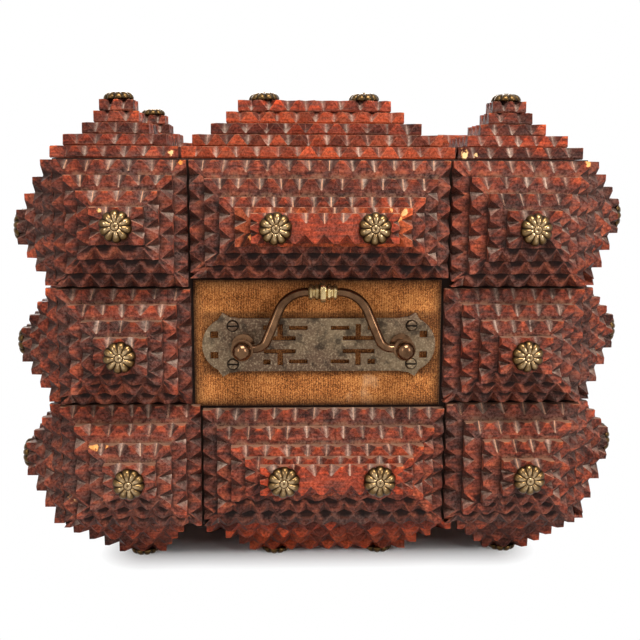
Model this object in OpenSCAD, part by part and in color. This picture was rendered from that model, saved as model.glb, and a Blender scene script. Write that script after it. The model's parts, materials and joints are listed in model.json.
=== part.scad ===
// Tramp art box: a board carcass covered with stepped pyramids of chip-carved wood.
// Origin on the floor under the middle of the box, +Z up, handle face towards -Y.

/* [Carcass] */
// Width of the carcass, left to right
box_w = 250; // [244:1:270]
// Depth of the carcass, front to back
box_d = 190; // [180:1:205]
// Height of the carcass, from its floor to its rim
box_h = 176.5; // [170:0.5:184]
// Thickness of the wall and floor boards
board_t = 8; // [7:0.5:9]
// Height of the top row of pyramids on the walls
top_row_h = 59.8; // [57:0.1:62]
// Height of the bottom row of pyramids on the walls
bottom_row_h = 60.8; // [57:0.1:63]

/* [Carving] */
// Thickness of one carved layer
layer_t = 5.6; // [5:0.1:6.2]
// Glue line between two layers
glue_line = 0.1; // [0.05:0.05:0.2]
// Gap between neighbouring pyramids
cell_gap = 1.2; // [0.6:0.1:2]
// Distance between notches along an edge
notch_pitch = 9.4; // [8:0.1:12]
// Depth of a notch on the outer face of a layer
notch_depth = 5.2; // [4.4:0.1:5.6]
// Uncut edge under a notch, next to the glued face
notch_foot = 0.5; // [0.2:0.1:1]
// Uncut length of each edge at the corners of a layer
corner_land = 2; // [1.4:0.1:2.6]
// Width of the blunt tip left between two notches
tip_land = 0.6; // [0.4:0.1:1.2]
// Width of the top layer of a corner pyramid
corner_top_w = 24; // [18:0.5:28]
// Height of the top layer of a corner pyramid
corner_top_h = 17; // [15:0.5:20]
// Width of the top layer of a wide pyramid
wide_top_w = 66; // [62:0.5:74]
// Height of the top layer of a wide pyramid
wide_top_h = 13.5; // [12:0.5:16]
// Rise of the middle field over the side columns
field_rise = 4; // [2:0.5:6]
// Drop of the middle field under the side columns
field_drop = 2; // [0:0.5:4]

/* [Lid] */
// Thickness of the lid board that drops between the walls
lid_t = 8; // [6:0.5:10]
// Clearance round the lid board
lid_fit = 0.8; // [0.6:0.1:1.2]
// Gap between the lid's overhang and the rim
lid_seat = 0.2; // [0.15:0.05:0.3]
// Width of the corner pyramids on the lid
lid_corner_w = 60.5; // [57:0.5:66]
// Depth of the pyramids on the lid, front to back
lid_row_d = 63; // [60:0.5:66]
// Width and depth of the top layer of a lid corner pyramid
lid_corner_top_w = 16.5; // [15:0.5:22]
// Width of the top layer of a lid wide pyramid
lid_wide_top_w = 74.5; // [66:0.5:84]
// Sideways offset of the carving on the lid
lid_off = -1.8; // [-3:0.1:3]
// Sideways lean of the left pyramids on the lid
lid_left_lean = -2.2; // [-4:0.1:4]
// Sideways lean of the middle pyramids on the lid
lid_centre_lean = -1.3; // [-4:0.1:4]
// Sideways lean of the right pyramids on the lid
lid_right_lean = -0.7; // [-4:0.1:4]
// Layers left on the broken pyramid at the back right
broken_layers = 3; // [2:1:4]
// Thickness of the velvet panel across the lid
lid_panel_t = 4; // [2:0.5:5]

/* [Feet] */
// Gap between neighbouring feet along the front and back
foot_gap = 3.25; // [1:0.05:6]
// Width of the base layer of a corner foot
foot_w = 54; // [50:0.5:60]
// Depth of the base layer of every foot
foot_d = 54; // [50:0.5:60]
// Distance of the feet from the front and back edges
foot_inset = 3; // [1:0.5:8]
// Width of the base layer of a wide foot
wide_foot_w = 121.5; // [110:0.5:124]
// Sideways offset of the wide feet
wide_foot_x = 4; // [0:0.5:6]
// Width of the top layer of a wide foot
wide_foot_top_w = 80.5; // [72:0.5:86]

/* [Rosettes] */
// Radius of a rosette nail's head
rosette_r = 7.5; // [6.5:0.1:8]
// Height of a rosette nail's head
rosette_h = 4.2; // [3.4:0.1:5]
// Height of the rim of the head
rosette_rim = 0.9; // [0.5:0.1:1.2]
// Wear on the heads that the box stands on
foot_wear = 0.8; // [0.5:0.1:1]
// Radius of the nail under the head
nail_r = 0.9; // [0.7:0.1:1.1]
// Clearance round a nail, screw or rivet
nail_fit = 0.05; // [0.03:0.01:0.08]
// Half the distance between the rosettes of a wide pyramid on the walls
rosette_x = 22; // [18:0.5:24]
// Half the distance between the rosettes of a wide pyramid on the lid
lid_rosette_x = 24.6; // [20:0.1:27]
// Half the distance between the rosettes of a wide foot
foot_rosette_x = 26.9; // [22:0.1:30]

/* [Velvet] */
// Thickness of the velvet on the walls
velvet_t = 1.2; // [0.8:0.1:1.6]

/* [Handle] */
// Half the distance between the posts
post_x = 37.6; // [36:0.2:39]
// Thickness of the pierced plate
plate_t = 1.6; // [1.2:0.1:2]
// Half the height of the plate's straight strip
plate_half_h = 12.7; // [12:0.1:13.5]
// Radius of the plate's round ends
lobe_r = 13.3; // [13:0.1:14]
// Velvet that shows beside each end of the plate
plate_gap = 4.5; // [3:0.1:7]
// Sideways offset of the plate from the middle of the posts
plate_off = -1.5; // [-2:0.1:2]
// Distance of the pivot from the wall
pivot_out = 13.5; // [12.5:0.1:14.5]
// Radius of the bail's rod at its ends
rod_r = 1.85; // [1.6:0.05:2]
// Swell of the rod halfway up its arms
rod_swell = 0.5; // [0:0.05:0.6]
// Radius of the pin at each end of the bail
pin_r = 1.5; // [1.3:0.05:1.6]
// Running clearance of the bail's pins
pin_fit = 0.06; // [0.04:0.01:0.08]
// Gap between the raised ferrule and the pyramid over it
bail_top_gap = 1.3; // [0.6:0.1:3]
// Rise of the handle over the middle of its row
handle_rise = 0.5; // [0:0.1:1]
// Radius of the bend next to a post
bend_r = 6; // [5:0.1:7]
// Slope of the bail's arms
arm_slope = 68; // [64:1:70]
// Half the length of the turned ferrule
ferrule_half_l = 7.5; // [6.5:0.1:8]
// Largest radius of the ferrule
ferrule_r = 5; // [4.5:0.1:5.4]

/* [Hinges] */
// Distance of the hinges from the sides of the carcass
hinge_inset = 33; // [29:1:37]
// Length of a hinge
hinge_l = 26; // [24:1:30]
// Thickness of a hinge leaf
leaf_t = 0.9; // [0.7:0.1:1.1]
// Radius of the knuckles
knuckle_r = 2.5; // [2.2:0.1:2.6]
// Distance of the hinge pin behind the back wall
hinge_out = 3.2; // [3:0.1:3.6]
// Radius of the hinge pins
hinge_pin_r = 1; // [0.8:0.05:1.2]
// Running clearance of the hinge pins
hinge_fit = 0.05; // [0.03:0.01:0.08]

/* [Hidden] */
$fn = 48;
box_body = ["bottom_board", "front_wall", "back_wall", "left_wall", "right_wall"];
front_names = ["front_top_left_pyramid", "front_top_centre_pyramid", "front_top_right_pyramid",
    "front_middle_left_pyramid", "front_middle_right_pyramid",
    "front_bottom_left_pyramid", "front_bottom_centre_pyramid", "front_bottom_right_pyramid"];
row_names = ["back_top_pyramids", "back_middle_pyramids", "back_bottom_pyramids",
    "left_top_pyramids", "left_middle_pyramids", "left_bottom_pyramids",
    "right_top_pyramids", "right_middle_pyramids", "right_bottom_pyramids"];
foot_names = ["front_left_foot", "front_centre_foot", "front_right_foot",
    "back_left_foot", "back_centre_foot", "back_right_foot"];
velvet_names = ["front_velvet", "back_velvet", "left_velvet", "right_velvet", "lid_velvet_panel"];
rosette_names = ["front_rosettes", "back_rosettes", "left_rosettes", "right_rosettes",
    "lid_rosettes", "foot_rosettes"];
lid_names = ["lid_board", "lid_front_left_pyramid", "lid_front_centre_pyramid",
    "lid_front_right_pyramid", "lid_back_left_pyramid", "lid_back_centre_pyramid",
    "lid_back_right_pyramid"];
handle_names = ["handle_plate", "handle_posts", "handle_screws", "handle_bail", "bail_ferrule"];
hinge_names = ["hinge_box_leaves", "hinge_lid_leaves", "hinge_pins", "hinge_box_screws",
    "hinge_lid_screws"];

wood = "saddlebrown";
board_wood = "sienna";
brass = "darkgoldenrod";
bronze = "dimgray";
velvet = "peru";

// Steps of a pyramid, as shares of the way from its base layer to its top layer
corner_steps = [0, 1 / 3, 2 / 3, 1];
wide_steps_w = [0, 0.25, 0.5, 0.75, 1];
wide_steps_h = [0, 0.36, 0.71, 0.9, 1];
lid_steps = [0, 0.26, 0.64, 0.88, 1];
lid_wide_steps = [0, 0.18, 0.5, 0.78, 1];
wide_foot_steps = [0, 0.44, 0.75, 1];

layer_pitch = layer_t + glue_line;
wall_layers = len(corner_steps);
lid_layers = len(lid_steps);
foot_h = wall_layers * layer_pitch - glue_line + rosette_h - foot_wear;
rim_z = foot_h + box_h;
lid_z = rim_z + lid_seat;

// Rows and columns of the walls, as [middle, size]
mid_row_h = box_h - top_row_h - bottom_row_h;
top_row = [foot_h + box_h - top_row_h / 2, top_row_h];
mid_row = [foot_h + bottom_row_h + mid_row_h / 2, mid_row_h];
bottom_row = [foot_h + bottom_row_h / 2, bottom_row_h];
// The middle column is as wide as the handle's plate needs, and the corner columns take the rest
lobe_out = 4.6;
lobe_x = post_x + lobe_out;
centre_w = 2 * (lobe_x + lobe_r + plate_gap);
corner_w = (box_w - centre_w) / 2;
column_x = (box_w - corner_w) / 2;
side_w = box_d / 3;

// The top row at the back starts lower, to leave room for the hinge knuckles
knuckle_room = 0.7;
hinge_drop = knuckle_r + knuckle_room;
back_top_row = [top_row[0] - hinge_drop / 2, top_row_h - hinge_drop];
// The pyramids over and under the handle are shorter, so the velvet field is taller than its row
over_field = [top_row[0] + field_rise / 2, top_row_h - field_rise];
field = [mid_row[0] + (field_rise - field_drop) / 2, mid_row_h + field_rise + field_drop];
under_field = [bottom_row[0] - field_drop / 2, bottom_row_h - field_drop];

// Rows of the lid
lid_row_y = (box_d - lid_row_d) / 2;
lid_centre_w = box_w - 2 * lid_corner_w;
lid_column_x = (box_w - lid_corner_w) / 2;
lid_left_x = lid_off - lid_column_x;
lid_right_x = lid_off + lid_column_x;
lid_band_d = box_d - 2 * lid_row_d;
foot_x = wide_foot_x + (wide_foot_w + foot_w) / 2 + foot_gap;
foot_y = box_d / 2 - foot_d / 2 - foot_inset;

// Top layers, as [width, height]
corner_top = [corner_top_w, corner_top_h];
wide_top = [wide_top_w, wide_top_h];
lid_corner_top = [lid_corner_top_w, lid_corner_top_w];
lid_wide_top = [lid_wide_top_w, lid_corner_top_w];
wide_foot_top = [wide_foot_top_w, corner_top_h];

// The front was laid out by eye: the middle column of each row, as [middle, width]
top_column = [-1.3, centre_w + 2.2];
mid_column = [-2.1, centre_w - 1.2];
bottom_column = [0.8, centre_w - 3];
// Cells of the front, as [middle, width, row, lean of the top layer]
function corner_cell(side, column, row, lean) =
    let (w = box_w / 2 - side * column[0] - column[1] / 2)
    [side * (box_w - w) / 2, w, row, lean];
top_left = corner_cell(-1, top_column, top_row, [1, -0.2]);
top_right = corner_cell(1, top_column, top_row, [2.9, -1.5]);
middle_left = corner_cell(-1, mid_column, mid_row, [0.65, -1.4]);
middle_right = corner_cell(1, mid_column, mid_row, [2.25, -1.6]);
bottom_left = corner_cell(-1, bottom_column, bottom_row, [1.35, -2.45]);
bottom_right = corner_cell(1, bottom_column, bottom_row, [4.15, -1.75]);
top_centre = [top_column[0], top_column[1], over_field, [1.35, -2.8]];
bottom_centre = [bottom_column[0], bottom_column[1], under_field, [2.75, 0.75]];
corner_cells = [top_left, top_right, middle_left, middle_right, bottom_left, bottom_right];
wide_cells = [top_centre, bottom_centre];
// Lean of the other stacks
left_lean = [0, -3];
right_lean = [0, 3];
left_foot_lean = [4, 0];
right_foot_lean = [1.7, 0];

// Notches
notch_lean = atan(notch_depth / (layer_t - notch_foot));
comb_over = 4;
nail_spare = 1;
nail_l = 2 * layer_t + glue_line - nail_spare;
wide_nails = [[-rosette_x, 0], [rosette_x, 0]];
lid_nails = [[-lid_rosette_x, 0], [lid_rosette_x, 0]];
foot_nails = [[-foot_rosette_x, 0], [foot_rosette_x, 0]];
one_nail = [[0, 0]];

// Handle
handle_z = mid_row[0] + handle_rise;
plate_out = velvet_t + plate_t;
post_disc = [5.4, 1.4];
post_neck_r = 3.4;
post_collar = [5.1, 1.2];
post_ball_r = 4.4;
collar_gap = 0.35;
collar_sink = 0.6;
post_collar_out = pivot_out + rod_r + collar_gap;
post_ball_out = post_collar_out + post_ball_r - collar_sink;
rivet_r = 2;
rivet_depth = 5;
screw_at = [post_x + 4.9, 9.2];
screw_r = 2.9;
screw_top_r = 2.1;
screw_h = 1.5;
screw_shank_r = 1.5;
screw_depth = 6;
slot_w = 0.9;
slot_depth = 0.8;
strip_half_l = post_x + 5.2;
// Point on each end lobe, from the strip's edge out to its tip and back to the lobe
cusp = [[post_x + 2.2, plate_half_h - 1.1], [post_x + 11.4, plate_half_h - 2.1],
    [post_x + 8.2, plate_half_h + 2.7]];
// Windows in one quarter of the plate, as low and high corners
short_bar = [[5.5, 7.1], [14.4, 9.1]];
long_bar = [[11.2, 2.1], [26.5, 4.2]];
stem = [[17.3, 4], [19.9, 10]];
small_square = [[23.1, 7], [26.7, 9.5]];
end_square = [[post_x + 10.3, 3.3], [post_x + 14.1, 6.6]];
bail_rest_gap = 0.3;
bail_back = pivot_out - velvet_t - ferrule_r - bail_rest_gap;
bail_up = field[0] + (field[1] + cell_gap) / 2 - handle_z - ferrule_r - bail_top_gap;
bail_h = sqrt(bail_up * bail_up + bail_back * bail_back);
bail_lean = atan(bail_back / bail_up);
// The arm leaves the post level, bends up, runs straight and bends level again into the ferrule
arm_gap = 0.4;
arm_level_l = 1.8;
arm_start = post_x - post_neck_r - arm_gap;
arm_bend_x = arm_start - arm_level_l;
arm_in = arm_bend_x - ferrule_half_l - bend_r * sin(arm_slope);
arm_up = bail_h - bend_r * (1 - cos(arm_slope));
crown_r = (arm_in * sin(arm_slope) - arm_up * cos(arm_slope)) / (1 - cos(arm_slope));
rod_sides = 16;
// The rod narrows again under the ferrule
grip_r = rod_r + rod_swell / 2;
bend_steps = 6;
crown_steps = 10;

// Hinges
hinge_x = box_w / 2 - hinge_inset;
hinge_y = box_d / 2 + hinge_out;
hinge_z = rim_z + lid_seat / 2;
leaf_d = 6.2;
leaf_back = 0.3;
leaf_lap = 0.5;
mid_knuckle = hinge_l / 3;
knuckle_gap = 0.3;
leaf_fit = 0.1;
hinge_screw_inset = 5;
hinge_screw_x = hinge_l / 2 - hinge_screw_inset;
hinge_screw_y = box_d / 2 - leaf_back - leaf_d / 2;
hinge_screw_r = 0.9;
hinge_screw_head_r = 1.7;
box_screw_l = 7;
lid_screw_l = 3.6;
head_lap = 0.2;
pin_head = [1.7, 0.6];

// Places for pieces on the faces: local +Z points out of the face
module on_front(x, z) {
    translate([x, -box_d / 2, z]) rotate([90, 0, 0]) children();
}
module on_back(x, z) {
    translate([-x, box_d / 2, z]) rotate([90, 0, 180]) children();
}
module on_left(x, z) {
    translate([-box_w / 2, -x, z]) rotate([90, 0, -90]) children();
}
module on_right(x, z) {
    translate([box_w / 2, x, z]) rotate([90, 0, 90]) children();
}
module on_lid(x, y) {
    translate([x, y, lid_z]) children();
}
module under_box(x, y) {
    translate([x, y, foot_h]) rotate([180, 0, 0]) children();
}
module both_hinges() {
    for (side = [-1, 1]) {
        translate([side * hinge_x, 0, 0]) children();
    }
}

// A row of V cuts along one edge, leaning so that they are deep on the outer face
module notch_comb(length) {
    count = max(2, round(length / notch_pitch));
    pitch = length / count;
    arris = layer_t * sin(notch_lean);
    root = arris - notch_depth * cos(notch_lean);
    tip = arris + notch_depth * tip_land / (pitch - tip_land) * cos(notch_lean);
    cuts = [for (i = [0 : 2 * count]) [i * pitch / 2 - length / 2, i % 2 == 0 ? tip : root]];
    rotate([notch_lean, 0, 0])
        translate([0, 0, -comb_over])
            linear_extrude(layer_t / cos(notch_lean) + 2 * comb_over)
                polygon(concat(cuts, [[length / 2, tip + 1], [-length / 2, tip + 1]]));
}
module edge_comb(side, length, reach) {
    rotate([0, 0, side]) translate([0, reach, 0]) notch_comb(length - 2 * corner_land);
}

// One layer: a board chip-carved along its four edges, with holes for the nails that reach it
module carved_layer(w, h, nails) {
    difference() {
        translate([-w / 2, -h / 2, 0]) cube([w, h, layer_t]);
        edge_comb(0, w, h / 2);
        edge_comb(90, h, w / 2);
        edge_comb(180, w, h / 2);
        edge_comb(270, h, w / 2);
        for (nail = nails) {
            translate([nail[0], nail[1], -1]) cylinder(r = nail_r + nail_fit, h = layer_t + 2);
        }
    }
}

// A stack of carved layers: base and top sizes, the steps between them and the top layer's lean
module pyramid(base, top, steps_w, steps_h, nails, lean = [0, 0], layers = 9) {
    last = len(steps_w) - 1;
    for (i = [0 : min(last, layers - 1)]) {
        w = base[0] + (top[0] - base[0]) * steps_w[i];
        h = base[1] + (top[1] - base[1]) * steps_h[i];
        shift = [lean[0] * steps_w[i], lean[1] * steps_h[i]];
        translate([shift[0], shift[1], i * layer_pitch])
            carved_layer(w, h, i < last - 1 ? [] : [for (nail = nails) nail + lean - shift]);
    }
}
module corner_pyramid(w, h, lean = [0, 0]) {
    pyramid([w - cell_gap, h - cell_gap], corner_top, corner_steps, corner_steps, one_nail, lean);
}
module wide_pyramid(w, h, lean = [0, 0]) {
    pyramid([w - cell_gap, h - cell_gap], wide_top, wide_steps_w, wide_steps_h, wide_nails, lean);
}
module lid_corner(lean, layers = 9) {
    pyramid([lid_corner_w - cell_gap, lid_row_d - cell_gap], lid_corner_top, lid_steps, lid_steps,
        one_nail, [lean, 0], layers);
}
module lid_wide() {
    pyramid([lid_centre_w - cell_gap, lid_row_d - cell_gap], lid_wide_top, lid_wide_steps, lid_steps,
        lid_nails, [lid_centre_lean, 0]);
}
module corner_foot(lean) {
    pyramid([foot_w, foot_d], corner_top, corner_steps, corner_steps, one_nail, lean);
}
module wide_foot() {
    pyramid([wide_foot_w, foot_d], wide_foot_top, wide_foot_steps, corner_steps, foot_nails);
}

// A brass nail with a domed head on its rim; worn takes the crown off
module rosette(worn = 0) {
    rise = rosette_h - rosette_rim;
    dome_r = (rosette_r * rosette_r + rise * rise) / (2 * rise);
    intersection() {
        translate([0, 0, rosette_h - dome_r]) sphere(dome_r);
        cylinder(r = rosette_r, h = rosette_h - worn);
    }
    translate([0, 0, -nail_l]) cylinder(r = nail_r, h = nail_l + rosette_rim);
}
module rosettes_on(layers, nails, lean, worn = 0) {
    for (nail = nails) {
        translate([nail[0] + lean[0], nail[1] + lean[1], layers * layer_pitch - glue_line]) rosette(worn);
    }
}
module corner_rosette(lean = [0, 0]) {
    rosettes_on(wall_layers, one_nail, lean);
}
module wide_rosettes(lean = [0, 0]) {
    rosettes_on(lid_layers, wide_nails, lean);
}

// Carcass boards
module bottom_board() {
    color(board_wood)
        translate([-box_w / 2, -box_d / 2, foot_h])
            cube([box_w, box_d, board_t]);
}
module long_wall() {
    translate([-box_w / 2, 0, foot_h + board_t]) cube([box_w, board_t, box_h - board_t]);
}
module front_wall() {
    color(board_wood)
        difference() {
            translate([0, -box_d / 2, 0]) long_wall();
            on_front(0, handle_z) handle_holes(rivet_depth, screw_depth);
        }
}
module back_wall() {
    color(board_wood)
        difference() {
            translate([0, box_d / 2 - board_t, 0]) long_wall();
            both_hinges() leaf_pocket(rim_z - leaf_t - leaf_fit);
            both_hinges() hinge_screw_holes(rim_z - leaf_t - box_screw_l, box_screw_l + leaf_t);
        }
}
module side_wall() {
    translate([0, -box_d / 2 + board_t, foot_h + board_t])
        cube([board_t, box_d - 2 * board_t, box_h - board_t]);
}
module left_wall() {
    color(board_wood) translate([-box_w / 2, 0, 0]) side_wall();
}
module right_wall() {
    color(board_wood) translate([box_w / 2 - board_t, 0, 0]) side_wall();
}

// Front pyramids
module front_corner(cell) {
    color(wood) on_front(cell[0], cell[2][0]) corner_pyramid(cell[1], cell[2][1], cell[3]);
}
module front_wide(cell) {
    color(wood) on_front(cell[0], cell[2][0]) wide_pyramid(cell[1], cell[2][1], cell[3]);
}
module front_top_left_pyramid() {
    front_corner(top_left);
}
module front_top_centre_pyramid() {
    front_wide(top_centre);
}
module front_top_right_pyramid() {
    front_corner(top_right);
}
module front_middle_left_pyramid() {
    front_corner(middle_left);
}
module front_middle_right_pyramid() {
    front_corner(middle_right);
}
module front_bottom_left_pyramid() {
    front_corner(bottom_left);
}
module front_bottom_centre_pyramid() {
    front_wide(bottom_centre);
}
module front_bottom_right_pyramid() {
    front_corner(bottom_right);
}

// Rows of pyramids on the back and sides
module back_corners(row) {
    for (x = [-column_x, column_x]) {
        on_back(x, row[0]) corner_pyramid(corner_w, row[1]);
    }
}
module back_top_pyramids() {
    color(wood) {
        back_corners(back_top_row);
        on_back(0, back_top_row[0]) wide_pyramid(centre_w, back_top_row[1]);
    }
}
module back_middle_pyramids() {
    color(wood) back_corners(mid_row);
}
module back_bottom_pyramids() {
    color(wood) {
        back_corners(bottom_row);
        on_back(0, bottom_row[0]) wide_pyramid(centre_w, bottom_row[1]);
    }
}
module left_row(columns, row) {
    for (column = columns) {
        on_left(column * side_w, row[0]) corner_pyramid(side_w, row[1], left_lean);
    }
}
module right_row(columns, row) {
    for (column = columns) {
        on_right(column * side_w, row[0]) corner_pyramid(side_w, row[1], right_lean);
    }
}
module left_top_pyramids() {
    color(wood) left_row([-1, 0, 1], top_row);
}
module left_middle_pyramids() {
    color(wood) left_row([-1, 1], mid_row);
}
module left_bottom_pyramids() {
    color(wood) left_row([-1, 0, 1], bottom_row);
}
module right_top_pyramids() {
    color(wood) right_row([-1, 0, 1], top_row);
}
module right_middle_pyramids() {
    color(wood) right_row([-1, 1], mid_row);
}
module right_bottom_pyramids() {
    color(wood) right_row([-1, 0, 1], bottom_row);
}

// Feet: pyramids turned downwards
module front_left_foot() {
    color(wood) under_box(-foot_x, -foot_y) corner_foot(left_foot_lean);
}
module front_centre_foot() {
    color(wood) under_box(wide_foot_x, -foot_y) wide_foot();
}
module front_right_foot() {
    color(wood) under_box(foot_x, -foot_y) corner_foot(right_foot_lean);
}
module back_left_foot() {
    color(wood) under_box(-foot_x, foot_y) corner_foot(left_foot_lean);
}
module back_centre_foot() {
    color(wood) under_box(wide_foot_x, foot_y) wide_foot();
}
module back_right_foot() {
    color(wood) under_box(foot_x, foot_y) corner_foot(right_foot_lean);
}

// Velvet
module velvet_sheet(w, h) {
    translate([-(w - cell_gap) / 2, -(h - cell_gap) / 2, 0]) cube([w - cell_gap, h - cell_gap, velvet_t]);
}
module front_velvet() {
    color(velvet)
        difference() {
            on_front(mid_column[0], field[0]) velvet_sheet(mid_column[1], field[1]);
            on_front(0, handle_z) handle_holes(1, 1);
        }
}
module back_velvet() {
    color(velvet) on_back(0, mid_row[0]) velvet_sheet(centre_w, mid_row[1]);
}
module left_velvet() {
    color(velvet) on_left(0, mid_row[0]) velvet_sheet(side_w, mid_row[1]);
}
module right_velvet() {
    color(velvet) on_right(0, mid_row[0]) velvet_sheet(side_w, mid_row[1]);
}
module lid_velvet_panel() {
    color(velvet)
        on_lid(-box_w / 2, -(lid_band_d - cell_gap) / 2)
            cube([box_w, lid_band_d - cell_gap, lid_panel_t]);
}

// Rosettes of each face
module front_rosettes() {
    color(brass) {
        for (cell = corner_cells) {
            on_front(cell[0], cell[2][0]) corner_rosette(cell[3]);
        }
        for (cell = wide_cells) {
            on_front(cell[0], cell[2][0]) wide_rosettes(cell[3]);
        }
    }
}
module back_rosettes() {
    color(brass) {
        for (x = [-column_x, column_x], row = [back_top_row, mid_row, bottom_row]) {
            on_back(x, row[0]) corner_rosette();
        }
        on_back(0, back_top_row[0]) wide_rosettes();
        on_back(0, bottom_row[0]) wide_rosettes();
    }
}
module side_rosettes_at(row, lean) {
    for (column = [-1, 0, 1]) {
        if (column != 0 || row != mid_row) {
            translate([column * side_w, row[0]]) corner_rosette(lean);
        }
    }
}
module side_rosettes(lean) {
    for (row = [top_row, mid_row, bottom_row]) {
        side_rosettes_at(row, lean);
    }
}
module left_rosettes() {
    color(brass) on_left(0, 0) side_rosettes(left_lean);
}
module right_rosettes() {
    color(brass) on_right(0, 0) side_rosettes(right_lean);
}
module lid_rosettes() {
    color(brass) {
        for (y = [-lid_row_y, lid_row_y]) {
            on_lid(lid_left_x, y) rosettes_on(lid_layers, one_nail, [lid_left_lean, 0]);
            on_lid(lid_off, y) rosettes_on(lid_layers, lid_nails, [lid_centre_lean, 0]);
        }
        on_lid(lid_right_x, -lid_row_y) rosettes_on(lid_layers, one_nail, [lid_right_lean, 0]);
    }
}
module foot_rosettes() {
    color(brass) {
        for (y = [-foot_y, foot_y]) {
            under_box(-foot_x, y) rosettes_on(wall_layers, one_nail, left_foot_lean, foot_wear);
            under_box(wide_foot_x, y) rosettes_on(wall_layers, foot_nails, [0, 0], foot_wear);
            under_box(foot_x, y) rosettes_on(wall_layers, one_nail, right_foot_lean, foot_wear);
        }
    }
}

// Lid
module lid_board() {
    w = box_w - 2 * board_t - 2 * lid_fit;
    d = box_d - 2 * board_t - 2 * lid_fit;
    color(board_wood) translate([-w / 2, -d / 2, lid_z - lid_t]) cube([w, d, lid_t]);
}
module lid_front_left_pyramid() {
    color(wood) on_lid(lid_left_x, -lid_row_y) lid_corner(lid_left_lean);
}
module lid_front_centre_pyramid() {
    color(wood) on_lid(lid_off, -lid_row_y) lid_wide();
}
module lid_front_right_pyramid() {
    color(wood) on_lid(lid_right_x, -lid_row_y) lid_corner(lid_right_lean);
}
module hinged_base(side) {
    difference() {
        children();
        translate([side * hinge_x, 0, 0]) leaf_pocket(lid_z - leaf_t);
        translate([side * hinge_x, 0, 0]) hinge_screw_holes(lid_z, leaf_t + lid_screw_l);
    }
}
module lid_back_left_pyramid() {
    color(wood) hinged_base(-1) on_lid(lid_left_x, lid_row_y) lid_corner(lid_left_lean);
}
module lid_back_centre_pyramid() {
    color(wood) on_lid(lid_off, lid_row_y) lid_wide();
}
module lid_back_right_pyramid() {
    color(wood) hinged_base(1) on_lid(lid_right_x, lid_row_y) lid_corner(lid_right_lean, broken_layers);
}

// Handle, drawn on the front face with its middle at the local origin
module four_corners(at) {
    for (x = [-1, 1], y = [-1, 1]) {
        translate([x * at[0], y * at[1], 0]) children();
    }
}
module handle_holes(rivet_in, screw_in) {
    for (x = [-post_x, post_x]) {
        translate([x, 0, -rivet_in]) cylinder(r = rivet_r + nail_fit, h = rivet_in + plate_out + 1);
    }
    four_corners(screw_at)
        translate([0, 0, -screw_in])
            cylinder(r = screw_shank_r + nail_fit, h = screw_in + plate_out + 1);
}
// One window, repeated in the plate's four quarters
module plate_window(corners) {
    size = corners[1] - corners[0];
    for (x = [0, 1], y = [0, 1]) {
        mirror([x, 0, 0])
            mirror([0, y, 0])
                translate([corners[0][0], corners[0][1], 0])
                    cube([size[0], size[1], plate_out + 1]);
    }
}
module plate_blank() {
    translate([0, 0, velvet_t]) {
        translate([-strip_half_l, -plate_half_h, 0]) cube([2 * strip_half_l, 2 * plate_half_h, plate_t]);
        for (x = [0, 1]) {
            mirror([x, 0, 0]) {
                translate([lobe_x, 0, 0]) cylinder(r = lobe_r, h = plate_t);
                for (y = [0, 1]) {
                    mirror([0, y, 0]) linear_extrude(plate_t) polygon(cusp);
                }
            }
        }
    }
}
module handle_plate() {
    color(bronze)
        on_front(0, handle_z)
            difference() {
                translate([plate_off, 0, 0]) plate_blank();
                handle_holes(0, 0);
                translate([plate_off, 0, 0]) {
                    plate_window(short_bar);
                    plate_window(long_bar);
                    plate_window(stem);
                    plate_window(small_square);
                    plate_window(end_square);
                }
            }
}
module handle_post() {
    difference() {
        union() {
            translate([0, 0, -rivet_depth]) cylinder(r = rivet_r, h = rivet_depth + plate_out + 1);
            translate([0, 0, plate_out]) cylinder(r = post_disc[0], h = post_disc[1]);
            translate([0, 0, plate_out]) cylinder(r = post_neck_r, h = post_ball_out - plate_out);
            translate([0, 0, post_collar_out]) cylinder(r = post_collar[0], h = post_collar[1]);
            translate([0, 0, post_ball_out]) sphere(post_ball_r);
        }
        translate([-post_disc[0], 0, pivot_out])
            rotate([0, 90, 0])
                cylinder(r = pin_r + pin_fit, h = 2 * post_disc[0]);
    }
}
module handle_posts() {
    color(brass)
        for (x = [-post_x, post_x]) {
            on_front(x, handle_z) handle_post();
        }
}
module handle_screws() {
    color(bronze)
        on_front(0, handle_z)
            four_corners(screw_at)
                difference() {
                    union() {
                        translate([0, 0, -screw_depth])
                            cylinder(r = screw_shank_r, h = screw_depth + plate_out + screw_h / 3);
                        translate([0, 0, plate_out]) cylinder(r1 = screw_r, r2 = screw_top_r, h = screw_h);
                    }
                    translate([-screw_r, -slot_w / 2, plate_out + screw_h - slot_depth])
                        cube([2 * screw_r, slot_w, 1]);
                }
}
// Sections of the bail's rod on its right side, as [x, y, slope, radius], from the post to the crown
bail_bend = [for (i = [0 : bend_steps])
    let (a = arm_slope * i / bend_steps)
    [arm_bend_x - bend_r * sin(a), bend_r * (1 - cos(a)), a, rod_r + rod_swell * i / bend_steps]];
bail_crown = [for (i = [0 : crown_steps])
    let (share = i / crown_steps, a = arm_slope * (1 - share))
    [ferrule_half_l + crown_r * sin(a), bail_h - crown_r * (1 - cos(a)), a,
        rod_r + rod_swell + (grip_r - rod_r - rod_swell) * share]];
right_sections = concat([[arm_start, 0, 0, rod_r]], bail_bend, bail_crown);
last_section = len(right_sections) - 1;
bail_sections = concat(right_sections,
    [for (i = [last_section : -1 : 0])
        [-right_sections[i][0], right_sections[i][1], -right_sections[i][2], right_sections[i][3]]]);
function rod_ring(s) = [for (j = [0 : rod_sides - 1])
    let (a = 360 * j / rod_sides)
    [s[0] + s[3] * cos(a) * sin(s[2]), s[1] + s[3] * cos(a) * cos(s[2]), s[3] * sin(a)]];
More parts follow.
